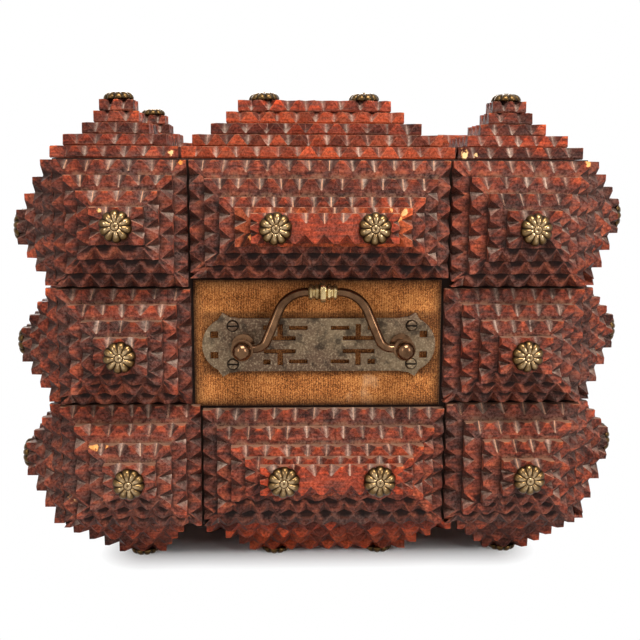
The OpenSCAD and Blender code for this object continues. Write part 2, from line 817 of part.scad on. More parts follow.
module bail_rod() {
    rings = len(bail_sections);
    points = [for (s = bail_sections) each rod_ring(s)];
    skin = [for (i = [0 : rings - 2], j = [0 : rod_sides - 1])
        let (a = i * rod_sides + j, b = i * rod_sides + (j + 1) % rod_sides)
        each [[a, b, b + rod_sides], [a, b + rod_sides, a + rod_sides]]];
    first_end = [for (j = [rod_sides - 1 : -1 : 0]) j];
    last_end = [for (j = [0 : rod_sides - 1]) (rings - 1) * rod_sides + j];
    polyhedron(points, concat(skin, [first_end, last_end]));
}
module bail_pin() {
    translate([arm_start - arm_gap, 0, 0])
        rotate([0, 90, 0])
            cylinder(r = pin_r, h = 2 * (post_neck_r + arm_gap));
}
module on_bail() {
    on_front(0, handle_z) translate([0, 0, pivot_out]) rotate([-bail_lean, 0, 0]) children();
}
module handle_bail() {
    color(brass)
        on_bail() {
            bail_rod();
            bail_pin();
            mirror([1, 0, 0]) bail_pin();
        }
}
// Half of the turned ferrule: a middle bead, two smaller ones and a plain end
module bail_ferrule() {
    bore = grip_r + nail_fit;
    bead = ferrule_half_l / 5;
    low = grip_r + 0.9;
    mid = ferrule_r - 1.2;
    half = [[bore, 0], [ferrule_r, 0], [ferrule_r, 0.8 * bead], [low, 1.2 * bead], [mid, 1.5 * bead],
        [mid, 2.3 * bead], [low, 2.6 * bead], [low, 3.1 * bead], [mid, 3.4 * bead], [mid, 4.1 * bead],
        [low, 4.5 * bead], [bore, 4.8 * bead]];
    color(brass)
        on_bail()
            translate([0, bail_h, 0])
                rotate([0, 90, 0]) {
                    rotate_extrude() polygon(half);
                    mirror([0, 0, 1]) rotate_extrude() polygon(half);
                }
}

// Hinges, drawn in place at the middle of the back
module leaf_pocket(z) {
    translate([-hinge_l / 2 - leaf_fit, box_d / 2 - leaf_back - leaf_d - leaf_fit, z])
        cube([hinge_l + 2 * leaf_fit, leaf_d + leaf_back + 1, 2 * leaf_t + leaf_fit]);
}
module hinge_screw_holes(z, depth) {
    for (x = [-hinge_screw_x, hinge_screw_x]) {
        translate([x, hinge_screw_y, z]) cylinder(r = hinge_screw_r + nail_fit, h = depth + leaf_fit);
    }
}
// A leaf from its plate's lower face, with knuckles over the given stretches
module hinge_leaf(z, stretches) {
    difference() {
        union() {
            translate([-hinge_l / 2, box_d / 2 - leaf_back - leaf_d, z]) cube([hinge_l, leaf_d, leaf_t]);
            for (s = stretches) {
                translate([s[0], box_d / 2 - leaf_back - leaf_lap, z])
                    cube([s[1] - s[0], hinge_out + leaf_back + leaf_lap, leaf_t]);
                translate([s[0], hinge_y, hinge_z])
                    rotate([0, 90, 0])
                        cylinder(r = knuckle_r, h = s[1] - s[0]);
            }
        }
        translate([-hinge_l, hinge_y, hinge_z])
            rotate([0, 90, 0])
                cylinder(r = hinge_pin_r + hinge_fit, h = 2 * hinge_l);
        for (x = [-hinge_screw_x, hinge_screw_x]) {
            translate([x, hinge_screw_y, z - 1]) cylinder(r = hinge_screw_head_r + nail_fit, h = leaf_t + 2);
        }
    }
}
module hinge_box_leaves() {
    inner = mid_knuckle / 2 + knuckle_gap;
    color(brass)
        both_hinges()
            hinge_leaf(rim_z - leaf_t, [[-hinge_l / 2, -inner], [inner, hinge_l / 2]]);
}
module hinge_lid_leaves() {
    color(brass) both_hinges() hinge_leaf(lid_z, [[-mid_knuckle / 2, mid_knuckle / 2]]);
}
module hinge_pins() {
    color(brass)
        both_hinges()
            translate([-hinge_l / 2, hinge_y, hinge_z])
                rotate([0, 90, 0]) {
                    cylinder(r = hinge_pin_r, h = hinge_l);
                    translate([0, 0, -pin_head[1]]) cylinder(r = pin_head[0], h = pin_head[1]);
                    translate([0, 0, hinge_l]) cylinder(r = pin_head[0], h = pin_head[1]);
                }
}
// A flush screw: its head fills the leaf's hole and its shank goes on in the given direction
module hinge_screw(z, shank_z, shank_l) {
    for (x = [-hinge_screw_x, hinge_screw_x]) {
        translate([x, hinge_screw_y, z]) cylinder(r = hinge_screw_head_r, h = leaf_t);
        translate([x, hinge_screw_y, shank_z]) cylinder(r = hinge_screw_r, h = shank_l);
    }
}
module hinge_box_screws() {
    head_z = rim_z - leaf_t;
    color(brass) both_hinges() hinge_screw(head_z, head_z - box_screw_l + head_lap, box_screw_l);
}
module hinge_lid_screws() {
    color(brass) both_hinges() hinge_screw(lid_z, lid_z + leaf_t - head_lap, lid_screw_l);
}

bottom_board();
front_wall();
back_wall();
left_wall();
right_wall();
front_top_left_pyramid();
front_top_centre_pyramid();
front_top_right_pyramid();
front_middle_left_pyramid();
front_middle_right_pyramid();
front_bottom_left_pyramid();
front_bottom_centre_pyramid();
front_bottom_right_pyramid();
back_top_pyramids();
back_middle_pyramids();
back_bottom_pyramids();
left_top_pyramids();
left_middle_pyramids();
left_bottom_pyramids();
right_top_pyramids();
right_middle_pyramids();
right_bottom_pyramids();
front_left_foot();
front_centre_foot();
front_right_foot();
back_left_foot();
back_centre_foot();
back_right_foot();
front_velvet();
back_velvet();
left_velvet();
right_velvet();
lid_velvet_panel();
front_rosettes();
back_rosettes();
left_rosettes();
right_rosettes();
lid_rosettes();
foot_rosettes();
lid_board();
lid_front_left_pyramid();
lid_front_centre_pyramid();
lid_front_right_pyramid();
lid_back_left_pyramid();
lid_back_centre_pyramid();
lid_back_right_pyramid();
handle_plate();
handle_posts();
handle_screws();
handle_bail();
bail_ferrule();
hinge_box_leaves();
hinge_lid_leaves();
hinge_pins();
hinge_box_screws();
hinge_lid_screws();
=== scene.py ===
import bmesh
import bpy
import json
import math
import random
from mathutils import Euler, Matrix, Vector, noise


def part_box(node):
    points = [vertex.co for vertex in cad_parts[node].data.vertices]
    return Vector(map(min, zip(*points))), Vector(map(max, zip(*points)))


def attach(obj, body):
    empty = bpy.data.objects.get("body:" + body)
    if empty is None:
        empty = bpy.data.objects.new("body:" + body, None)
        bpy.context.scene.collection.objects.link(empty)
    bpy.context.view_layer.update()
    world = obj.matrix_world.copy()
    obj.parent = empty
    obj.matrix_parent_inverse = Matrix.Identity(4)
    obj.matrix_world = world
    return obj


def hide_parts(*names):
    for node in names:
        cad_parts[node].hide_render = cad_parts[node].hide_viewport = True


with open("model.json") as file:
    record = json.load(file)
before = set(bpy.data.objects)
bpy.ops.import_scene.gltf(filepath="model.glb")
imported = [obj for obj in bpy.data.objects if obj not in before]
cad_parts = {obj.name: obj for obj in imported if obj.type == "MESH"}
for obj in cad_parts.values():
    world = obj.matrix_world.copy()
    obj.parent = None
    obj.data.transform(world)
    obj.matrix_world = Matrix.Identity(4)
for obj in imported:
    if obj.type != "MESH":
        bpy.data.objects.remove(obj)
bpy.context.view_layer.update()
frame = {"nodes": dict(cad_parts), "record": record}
cadNodes = frame["nodes"]
bodies = frame["record"]["behaviour"]["bodies"]
bodyOf = {node: body for body, group in bodies.items() for node in group}
mm = 0.001
print("frame loaded:", len(cadNodes), "nodes")


# small helpers

def deselectAll():
    if bpy.context.mode != "OBJECT":
        bpy.ops.object.mode_set(mode="OBJECT")
    bpy.ops.object.select_all(action="DESELECT")


def makeActive(obj):
    deselectAll()
    obj.select_set(True)
    bpy.context.view_layer.objects.active = obj


def nameLast(name):
    obj = bpy.context.active_object
    obj.name = name
    obj.data.name = name
    return obj


def startMesh(name, materials=()):
    # an object with an empty mesh, open for editing
    deselectAll()
    bpy.ops.mesh.primitive_circle_add(vertices=3, radius=mm)
    obj = nameLast(name)
    for material in materials:
        obj.data.materials.append(material)
    bpy.ops.object.mode_set(mode="EDIT")
    bpy.ops.mesh.delete(type="VERT")
    return obj


def finishPiece(obj, material, nodes):
    obj.data.materials.clear()
    obj.data.materials.append(material)
    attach(obj, bodyOf[nodes[0]])
    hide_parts(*nodes)


def fadeIn(value, start, over):
    return min(1, max(0, (value - start) / over))


def solidBoxes(node):
    # the boxes of a node's separate solids, found through the corners that its triangles share
    mesh = cadNodes[node].data
    corner = {}
    keyOf = [corner.setdefault(tuple(round(c * 1e6) for c in v.co), len(corner)) for v in mesh.vertices]
    parent = list(range(len(corner)))

    def rootOf(i):
        while parent[i] != i:
            parent[i] = parent[parent[i]]
            i = parent[i]
        return i

    for face in mesh.polygons:
        ids = [keyOf[i] for i in face.vertices]
        for other in ids[1:]:
            parent[rootOf(other)] = rootOf(ids[0])
    boxes = {}
    for i, v in enumerate(mesh.vertices):
        low, high = boxes.setdefault(rootOf(keyOf[i]), (v.co.copy(), v.co.copy()))
        for axis in range(3):
            low[axis] = min(low[axis], v.co[axis])
            high[axis] = max(high[axis], v.co[axis])
    return list(boxes.values())


# axes of the faces that the carving sits on: across, up and out
faceAxes = {
    "front": (Vector((1, 0, 0)), Vector((0, 0, 1)), Vector((0, -1, 0))),
    "back": (Vector((-1, 0, 0)), Vector((0, 0, 1)), Vector((0, 1, 0))),
    "left": (Vector((0, -1, 0)), Vector((0, 0, 1)), Vector((-1, 0, 0))),
    "right": (Vector((0, 1, 0)), Vector((0, 0, 1)), Vector((1, 0, 0))),
    "lid": (Vector((1, 0, 0)), Vector((0, 1, 0)), Vector((0, 0, 1))),
    "foot": (Vector((1, 0, 0)), Vector((0, -1, 0)), Vector((0, 0, -1))),
}


def faceOf(node):
    return "foot" if "foot" in node else node.split("_")[0]


def onAxes(box, axes):
    # middle of the box's glued side, and its width, height and thickness along the axes
    low, high = box
    middle = (low + high) / 2
    size = [abs((high - low).dot(axis)) for axis in axes]
    return middle - axes[2] * size[2] / 2, size


def turnTo(axes):
    return Matrix(axes).transposed()


# materials

class NodeKit:
    def __init__(self, tree):
        self.tree = tree

    def add(self, kind, inputs=None, **settings):
        node = self.tree.nodes.new(kind)
        for key, value in settings.items():
            setattr(node, key, value)
        for key, value in (inputs or {}).items():
            self.feed(node.inputs[key], value)
        return node

    def feed(self, socket, value):
        if isinstance(value, bpy.types.NodeSocket):
            self.tree.links.new(value, socket)
        elif hasattr(value, "__len__") and len(value) == 3 and socket.type == "RGBA":
            socket.default_value = (*value, 1)
        else:
            socket.default_value = value

    def math(self, operation, a, b=0.0, clamp=False):
        return self.add("ShaderNodeMath", {0: a, 1: b}, operation=operation, use_clamp=clamp).outputs[0]

    def times(self, a, b, clamp=False):
        return self.math("MULTIPLY", a, b, clamp)

    def plus(self, a, b, clamp=False):
        return self.math("ADD", a, b, clamp)

    def minus(self, a, b):
        return self.math("SUBTRACT", a, b)

    def most(self, a, b):
        return self.math("MAXIMUM", a, b)

    def span(self, value, low, high, toLow=0.0, toHigh=1.0):
        return self.add("ShaderNodeMapRange", {"Value": value, "From Min": low, "From Max": high,
                                               "To Min": toLow, "To Max": toHigh}).outputs["Result"]


class Shader(NodeKit):
    def __init__(self, name):
        self.material = bpy.data.materials.new(name)
        self.material.use_nodes = True
        super().__init__(self.material.node_tree)
        self.surface = self.tree.nodes["Principled BSDF"]
        self.place = self.add("ShaderNodeTexCoord").outputs["Object"]

    def noise(self, scale, detail=3, stretch=None, rough=0.55):
        vector = self.place
        if stretch:
            vector = self.add("ShaderNodeMapping", {"Vector": vector, "Scale": stretch}).outputs["Vector"]
        return self.add("ShaderNodeTexNoise", {"Vector": vector, "Scale": scale, "Detail": detail,
                                               "Roughness": rough}).outputs["Fac"]

    def axis(self, name):
        return self.add("ShaderNodeSeparateXYZ", {"Vector": self.place}).outputs[name]

    def vectors(self, operation, a, b=(0, 0, 0), output="Vector"):
        return self.add("ShaderNodeVectorMath", {0: a, 1: b}, operation=operation).outputs[output]

    def ramp(self, value, stops):
        node = self.add("ShaderNodeValToRGB", {"Fac": value})
        points = node.color_ramp.elements
        while len(points) < len(stops):
            points.new(1)
        for point, (at, colour) in zip(points, stops):
            point.position = at
            point.color = (*colour, 1)
        return node.outputs["Color"]

    def mix(self, factor, a, b, blend="MIX"):
        node = self.add("ShaderNodeMix", data_type="RGBA", blend_type=blend)
        self.feed(node.inputs["Factor"], factor)
        self.feed(node.inputs[6], a)
        self.feed(node.inputs[7], b)
        return node.outputs[2]

    def attribute(self, name, output="Fac"):
        return self.add("ShaderNodeAttribute", attribute_name=name).outputs[output]

    def channels(self, name):
        return self.add("ShaderNodeSeparateColor", {"Color": self.attribute(name, "Color")}).outputs

    def bump(self, height, strength, distance, before=None):
        inputs = {"Height": height, "Strength": strength, "Distance": distance}
        if before:
            inputs["Normal"] = before
        return self.add("ShaderNodeBump", inputs).outputs["Normal"]

    def set(self, **sockets):
        for name, value in sockets.items():
            self.feed(self.surface.inputs[name.replace("_", " ")], value)
        return self.material


stainLook = {
    "dark": (0.014, 0.0045, 0.0035),
    "middle": (0.115, 0.024, 0.013),
    "light": (0.285, 0.078, 0.035),
    "vivid": (0.300, 0.036, 0.010),
    "corner": (0.480, 0.098, 0.026),
    # cut: darker cut wood, also used as painted shade deep in the cuts
    "cut": (0.034, 0.012, 0.009),
    "dust": (0.172, 0.110, 0.089),
    # gap: painted shadow between layers and between the stacks
    "gap": (0.008, 0.005, 0.004),
    # painted shade in the cuts that face down
    "paintedShade": (0.022, 0.013, 0.010),
    "streak": (0.560, 0.420, 0.325),
    "shelf": (0.300, 0.205, 0.155),
    "ledge": (0.240, 0.130, 0.078),
    # arris: pale worn edges, partly painted highlight
    "arris": (0.720, 0.340, 0.180),
    "orange": (0.870, 0.300, 0.060),
    "cream": (0.920, 0.650, 0.300),
}

# how fine the patterns on the wood are
woodScale = {
    "grain": 520, "patch": 140, "cloud": 30, "speck": 900, "rubbedAndLit": 190, "dents": 300, "ragged": 420,
}
woodGloss = 0.1

# darkest and lightest teeth, and the specks over them, as factors of the stain
toothTones = ((0.36, 0.33, 0.34), (1.75, 1.62, 1.5))
speckTones = ((0.5, 0.5, 0.5), (1.5, 1.5, 1.5))

# bare chips: place in mm, reach and how pale the wood is
bareChips = [
    ((-70.0, -96.0, 204.8), 2.1, 0.8),
    ((66.1, -95.5, 205.2), 2.6, 1.0), ((70.5, -95.5, 205.0), 1.8, 1.0),
    ((124.0, -95.5, 206.0), 2.2, 0.6), ((124.2, -100.6, 201.6), 2.4, 0.3),
    ((-98.7, -117.9, 179.7), 1.6, 0.6), ((-65.5, -101.0, 201.0), 1.6, 0.0),
    ((-108.5, -106.4, 196.2), 1.4, 0.1), ((-111.5, -100.7, 153.5), 1.3, 0.5),
    ((32.8, -118.0, 175.8), 1.6, 0.2), ((35.0, -117.8, 179.6), 2.0, 0.5),
    ((30.5, -117.8, 179.9), 1.5, 0.4), ((-32.9, -118.0, 166.5), 1.7, 0.1),
    ((38.5, -112.2, 164.0), 1.6, 0.1), ((-105.4, -112.2, 70.8), 3.0, 0.3),
    ((-102.0, -112.2, 71.3), 2.2, 0.3), ((-119.5, -97.5, 40.5), 3.0, 0.9),
    ((35.1, -121.5, 76.1), 1.9, 0.9), ((36.0, -121.5, 66.1), 2.2, 1.0),
]
chipEdge = 0.006  # how ragged their edges are, in metres


class CarvedShader(Shader):
    # carve: chip, up, fresh; wear: tone, arris, mark; root and tip run across the cuts and the teeth
    def __init__(self, name, stretch):
        super().__init__(name)
        self.chip, self.up, self.fresh = self.channels("carve")[:3]
        self.tone, self.arris, self.mark = self.channels("wear")[:3]
        self.root, self.tip, self.near = [self.attribute(x) for x in ("root", "tip", "near")]
        self.grain = self.noise(woodScale["grain"], 5, stretch, 0.65)
        self.patch = self.noise(woodScale["patch"], 5, None, 0.6)
        self.speck = self.noise(woodScale["speck"], 4, None, 0.7)
        self.flat = self.minus(1.0, self.chip)

    def stained(self):
        depth = self.plus(self.times(self.grain, 0.5), self.times(self.patch, 0.5))
        stain = self.ramp(depth, [(0.40, stainLook["dark"]), (0.5, stainLook["middle"]),
                                  (0.60, stainLook["light"])])
        red = self.plus(self.times(self.tip, self.span(self.patch, 0.38, 0.58, 0.1, 0.8)), self.fresh, True)
        reds = self.mix(self.span(self.grain, 0.38, 0.62), stainLook["middle"], stainLook["vivid"])
        stain = self.mix(red, stain, reds)
        # painted orange highlight on the teeth and corners where tip comes over 0.85, mostly on the upper
        # edges; layers whose stain is fresh over 1 turn orange as their own colour
        orange = self.most(self.span(self.tip, 0.85, 1.2, 0, 0.75), self.span(self.fresh, 1.0, 2.0, 0, 0.8))
        orange = self.times(orange, self.span(self.patch, 0.35, 0.6, 0.4, 1.1), True)
        stain = self.mix(orange, stain, stainLook["corner"])
        teeth = self.ramp(self.tone, list(zip((0, 1), toothTones)))
        specks = self.ramp(self.speck, list(zip((0.38, 0.62), speckTones)))
        stain = self.mix(1.0, self.mix(1.0, stain, teeth, "MULTIPLY"), specks, "MULTIPLY")
        # painted shade: the cuts get the darker colour of cut wood together with painted shade that deepens
        # towards their root; facets facing up get less of it, and facets facing down get less as painted
        # light bounced from the floor
        shade = self.times(self.span(self.root, 0, 0.5, 0.45, 0.85), self.span(self.up, 0.1, 0.5, 1.0, 0.55))
        shade = self.times(shade, self.span(self.up, -0.45, -0.1, 0.45, 1.0))
        return self.mix(self.times(self.chip, shade), stain, stainLook["cut"])

    def dust(self):
        # less on fresh stain, on teeth and on what faces down
        settled = self.span(self.noise(woodScale["cloud"], 3), 0.35, 0.65, 0.2, 0.85)
        amount = self.times(settled, self.span(self.speck, 0.42, 0.60, 0.15, 1.2))
        amount = self.times(amount, self.span(self.plus(self.tip, self.fresh), 0, 1, 1, 0.3))
        amount = self.times(amount, self.span(self.up, -0.6, 0.6, 0.5, 1.0))
        return self.times(amount, self.span(self.chip, 0, 1, 1, 0.8), True)

    def paintCuts(self, colour):
        # painted shade in the cuts that face down, pale dust in those that face up
        # painted shade, strongest on cuts that face down
        paintedShade = self.times(self.span(self.up, 0.2, -0.5), self.span(self.patch, 0.35, 0.6, 0.2, 0.0))
        colour = self.mix(self.times(self.chip, paintedShade), colour, stainLook["paintedShade"])
        settled = self.times(self.times(self.mark, self.chip), self.span(self.speck, 0.34, 0.6, 0.3, 0.95))
        shelf = self.times(self.span(self.up, 0.56, 0.66), self.span(self.patch, 0.36, 0.58, 0.1, 0.8))
        colour = self.mix(self.times(shelf, settled, True), colour, stainLook["shelf"])
        pale = self.plus(self.root, self.times(self.minus(self.patch, 0.5), 1.4))
        pale = self.times(self.span(pale, 0.58, 1.18), self.span(self.up, 0.05, 0.45))
        return self.mix(self.times(pale, settled, True), colour, stainLook["streak"])

    def paintEdges(self, colour):
        # pale arrises, partly wear and partly painted highlight that is strongest where they face up, and the
        # ledges on top of the layers
        worn = self.times(self.arris, self.span(self.noise(woodScale["rubbedAndLit"], 3), 0.38, 0.58, 0.15, 1.0))
        worn = self.times(worn, self.span(self.up, -0.6, 0.2, 0.4, 1.0))
        colour = self.mix(worn, colour, stainLook["arris"])
        ledge = self.times(self.flat, self.span(self.up, 0.6, 0.95))
        ledge = self.times(ledge, self.span(self.patch, 0.3, 0.6, 0.2, 0.9))
        return self.mix(ledge, colour, stainLook["ledge"])

    def paintSeams(self, colour):
        # a line of dust, and painted shadow as a dark gap, where the next layer sits
        line = self.span(self.plus(self.near, self.times(self.patch, 0.5)), 0.92, 1.25)
        line = self.times(line, self.span(self.speck, 0.36, 0.56, 0.1, 0.85))
        colour = self.mix(self.times(line, self.flat, True), colour, stainLook["ledge"])
        # painted shadow cast by the next layer on the bands under and beside it
        gap = self.span(self.minus(self.times(self.patch, 0.4), self.near), 0.62, 1.1, 0, 0.9)
        return self.mix(self.times(gap, self.flat, True), colour, stainLook["gap"])

    def paintChips(self, colour, chips):
        ragged = self.minus(self.noise(woodScale["ragged"], 3, None, 0.6), 0.5)
        ragged = self.times(ragged, chipEdge)
        bare, paleness = 0.0, 0.0
        for place, reach, light in chips:
            apart = self.vectors("DISTANCE", self.place, [x * mm for x in place], "Value")
            inside = self.span(self.plus(apart, ragged), reach * mm, reach * mm * 0.75)
            bare = self.most(bare, inside)
            paleness = self.most(paleness, self.times(inside, light))
        shade = self.plus(paleness, self.times(self.minus(self.grain, 0.5), 1.6), True)
        return self.mix(bare, colour, self.mix(shade, stainLook["orange"], stainLook["cream"]))


def carvedWood(name, stretch, chips):
    s = CarvedShader(name, stretch)
    dust = s.dust()
    colour = s.mix(dust, s.stained(), stainLook["dust"])
    colour = s.paintSeams(s.paintEdges(s.paintCuts(colour)))
    if chips:
        colour = s.paintChips(colour, chips)
    ridges = s.bump(s.grain, 0.6, 0.0007)
    dents = s.bump(s.noise(woodScale["dents"], 5, None, 0.65), 0.75, 0.001, ridges)
    rough = s.span(s.plus(dust, s.grain), 0.2, 1.2, 0.34, 0.75)
    return s.set(Base_Color=colour, Roughness=rough, Normal=dents, Specular_IOR_Level=woodGloss)


woodAlongX = carvedWood("carvedWoodAlongX", (0.16, 1, 1), bareChips)
woodAlongY = carvedWood("carvedWoodAlongY", (1, 0.16, 1), [])

boardLook = {
    "dark": (0.035, 0.014, 0.008),
    "middle": (0.10, 0.040, 0.020),
    "light": (0.19, 0.085, 0.045),
}


def boardWood():
    s = Shader("carcassBoard")
    grain = s.noise(260, 4, (0.08, 1, 1), 0.6)
    mixed = s.plus(s.times(grain, 0.6), s.times(s.noise(14, 3), 0.4))
    colour = s.ramp(mixed, [(0.3, boardLook["dark"]), (0.5, boardLook["middle"]), (0.72, boardLook["light"])])
    # painted shade on the outside of the box, which shows between the stacks
    outside = {"X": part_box("right_wall")[1].x, "Y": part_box("back_wall")[1].y}
    reach = [s.math("DIVIDE", s.math("ABSOLUTE", s.axis(name)), half) for name, half in outside.items()]
    colour = s.mix(s.span(s.most(*reach), 0.995, 0.999, 0, 0.9), colour, stainLook["gap"])
    return s.set(Base_Color=colour, Roughness=s.span(grain, 0, 1, 0.5, 0.75),
                 Normal=s.bump(grain, 0.3, 0.0004), Specular_IOR_Level=woodGloss)


carcassBoard = boardWood()

brassLook = {
    "groove": (0.016, 0.010, 0.005),
    "olive": (0.092, 0.050, 0.016),
    "warm": (0.180, 0.106, 0.043),
    "crest": (0.430, 0.295, 0.160),
}


def rosetteBrass():
    s = Shader("rosetteBrass")
    spots = s.noise(420, 3)
    worn = s.times(s.attribute("crest"), s.span(spots, 0.25, 0.6, 0.7, 1.1), True)
    colour = s.ramp(worn, [(0.22, brassLook["groove"]), (0.48, brassLook["olive"]),
                           (0.75, brassLook["warm"]), (0.98, brassLook["crest"])])
    rough = s.span(worn, 0.2, 1, 0.42, 0.12)
    return s.set(Base_Color=colour, Metallic=0.95, Roughness=rough, Normal=s.bump(spots, 0.12, 0.0003))


# dark and light patina, where each starts in the pattern, and how rough the light and the dark are
metalLook = {
    "bailBrass": ((0.050, 0.022, 0.010), (0.225, 0.118, 0.058), (0.34, 0.64), (0.15, 0.26)),
    "ferruleBrass": ((0.210, 0.130, 0.048), (0.760, 0.580, 0.290), (0.36, 0.62), (0.16, 0.32)),
    "hingeBrass": ((0.12, 0.075, 0.030), (0.46, 0.33, 0.15), (0.34, 0.62), (0.32, 0.55)),
}


def agedMetal(name):
    dark, light, (low, high), (smooth, dull) = metalLook[name]
    s = Shader(name)
    patina = s.plus(s.times(s.noise(150, 4), 0.6), s.times(s.noise(40, 3), 0.4))
    colour = s.ramp(patina, [(low, dark), (high, light)])
    rough = s.span(patina, low, high, dull, smooth)
    fine = s.bump(s.noise(600, 2), 0.12, 0.0003)
    return s.set(Base_Color=colour, Metallic=0.92, Roughness=rough, Normal=fine)


plateLook = {
    "pit": (0.020, 0.014, 0.010),
    "paintedShade": (0.006, 0.004, 0.003),
    "brown": (0.118, 0.070, 0.043),
    "green": (0.200, 0.138, 0.080),
    "fleck": (0.500, 0.375, 0.235),
    "slot": (0.45, 0.7),   # depth in mm from which painted shade fills the slots of the screws
}


def agedBronze(name, headFront=None):
    s = Shader(name)
    flecks = s.noise(1000, 4, None, 0.7)
    patches = s.span(s.noise(24, 3, None, 0.5), 0.42, 0.58)
    colour = s.mix(patches, plateLook["brown"], plateLook["green"])
    colour = s.mix(s.span(flecks, 0.50, 0.68, 0, 0.6), colour, plateLook["fleck"])
    colour = s.mix(s.span(s.noise(170, 5, None, 0.65), 0.50, 0.36, 0, 0.75), colour, plateLook["pit"])
    # painted shade deep in the slots of the screws and round their heads
    if headFront is not None:
        start, full = [headFront + depth * mm for depth in plateLook["slot"]]
        colour = s.mix(s.span(s.axis("Y"), start, full, 0, 0.92), colour, plateLook["paintedShade"])
    rough = s.span(flecks, 0.3, 0.7, 0.55, 0.30)
    return s.set(Base_Color=colour, Metallic=0.9, Roughness=rough, Normal=s.bump(flecks, 0.3, 0.0004))


rosetteMetal = rosetteBrass()
bailBrass, ferruleBrass, hingeBrass = [agedMetal(name) for name in metalLook]
plateBronze = agedBronze("plateBronze")
screwBronze = agedBronze("screwBronze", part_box("handle_screws")[0].y)

velvetLook = {
    "wale": 1.15,          # width of a rib in mm
    "deep": (0.086, 0.026, 0.0055),
    "nap": (0.335, 0.106, 0.022),
    "worn": (0.600, 0.255, 0.074),
    "bald": (0.680, 0.450, 0.260),
    "edge": (0.030, 0.011, 0.004),
    "sheen": (0.9, 0.6, 0.3),
}


def velvetCloth():
    s = Shader("wornVelvet")
    pile = s.noise(1900, 2, None, 0.6)
    along = s.times(s.plus(s.axis("X"), s.axis("Y")), 2 * math.pi / (velvetLook["wale"] * mm))
    wale = s.math("SINE", s.plus(along, s.times(s.noise(160, 3), 9.0)))
    tone = s.plus(s.times(pile, 0.68), s.times(s.noise(75, 5, None, 0.62), 0.32))
    tone = s.plus(tone, s.times(wale, 0.035))
    colour = s.ramp(tone, [(0.38, velvetLook["deep"]), (0.5, velvetLook["nap"]), (0.62, velvetLook["worn"])])
    colour = s.mix(s.span(s.noise(34, 3), 0.66, 0.74, 0, 0.5), colour, velvetLook["bald"])
    # painted shade along the edges and behind the plate
    colour = s.mix(s.times(s.attribute("edge"), 0.85), colour, velvetLook["edge"])
    height = s.plus(s.times(pile, 0.7), s.times(wale, 0.15))
    return s.set(Base_Color=colour, Roughness=0.9, Normal=s.bump(height, 0.6, 0.0006),
                 Specular_IOR_Level=0.2, Sheen_Weight=0.2, Sheen_Roughness=0.4,
                 Sheen_Tint=velvetLook["sheen"])


velvet = velvetCloth()
print("materials ready")


# carved layers, in mm

carving = {
    "pitch": 9.4, "depth": 5.2, "foot": 0.5, "cornerLand": 2.0, "tipLand": 0.7,
    "mostDepth": 0.34,     # share of a layer's width that a cut may take
    "wander": 0.55,        # sideways jitter of a notch
    "lean": 0.7,           # how far a cut may lean sideways
    "depthSpread": 0.16,   # share by which depths differ
    "rootHalf": 0.22,      # half width of the groove's floor
    "tipWear": 0.45,       # most that a tip is worn down
    "drawIn": 0.4,         # share of that by which the tip is also drawn in
    "undercut": 0.35,      # easing of the glued edge
    "strip": 0.8,          # uncut band inside the notches
    "arris": 0.28,         # width of the worn edges, which also carry painted highlight
    "shelteredAndShaded": 0.2,      # share of the pale arris paint, wear and painted highlight, that edges not facing up keep
}

layerPaint = {
    "cornerRed": 1.25, "toothRed": 1, "rootRed": 0.2, "gluedRed": 0.1,
    "besideShade": 0.3, "besideDust": 0.15,   # painted shade on cuts beside a neighbour: darker, with less dust
    "underShade": 0.25,     # painted shade on side cuts that face down
}


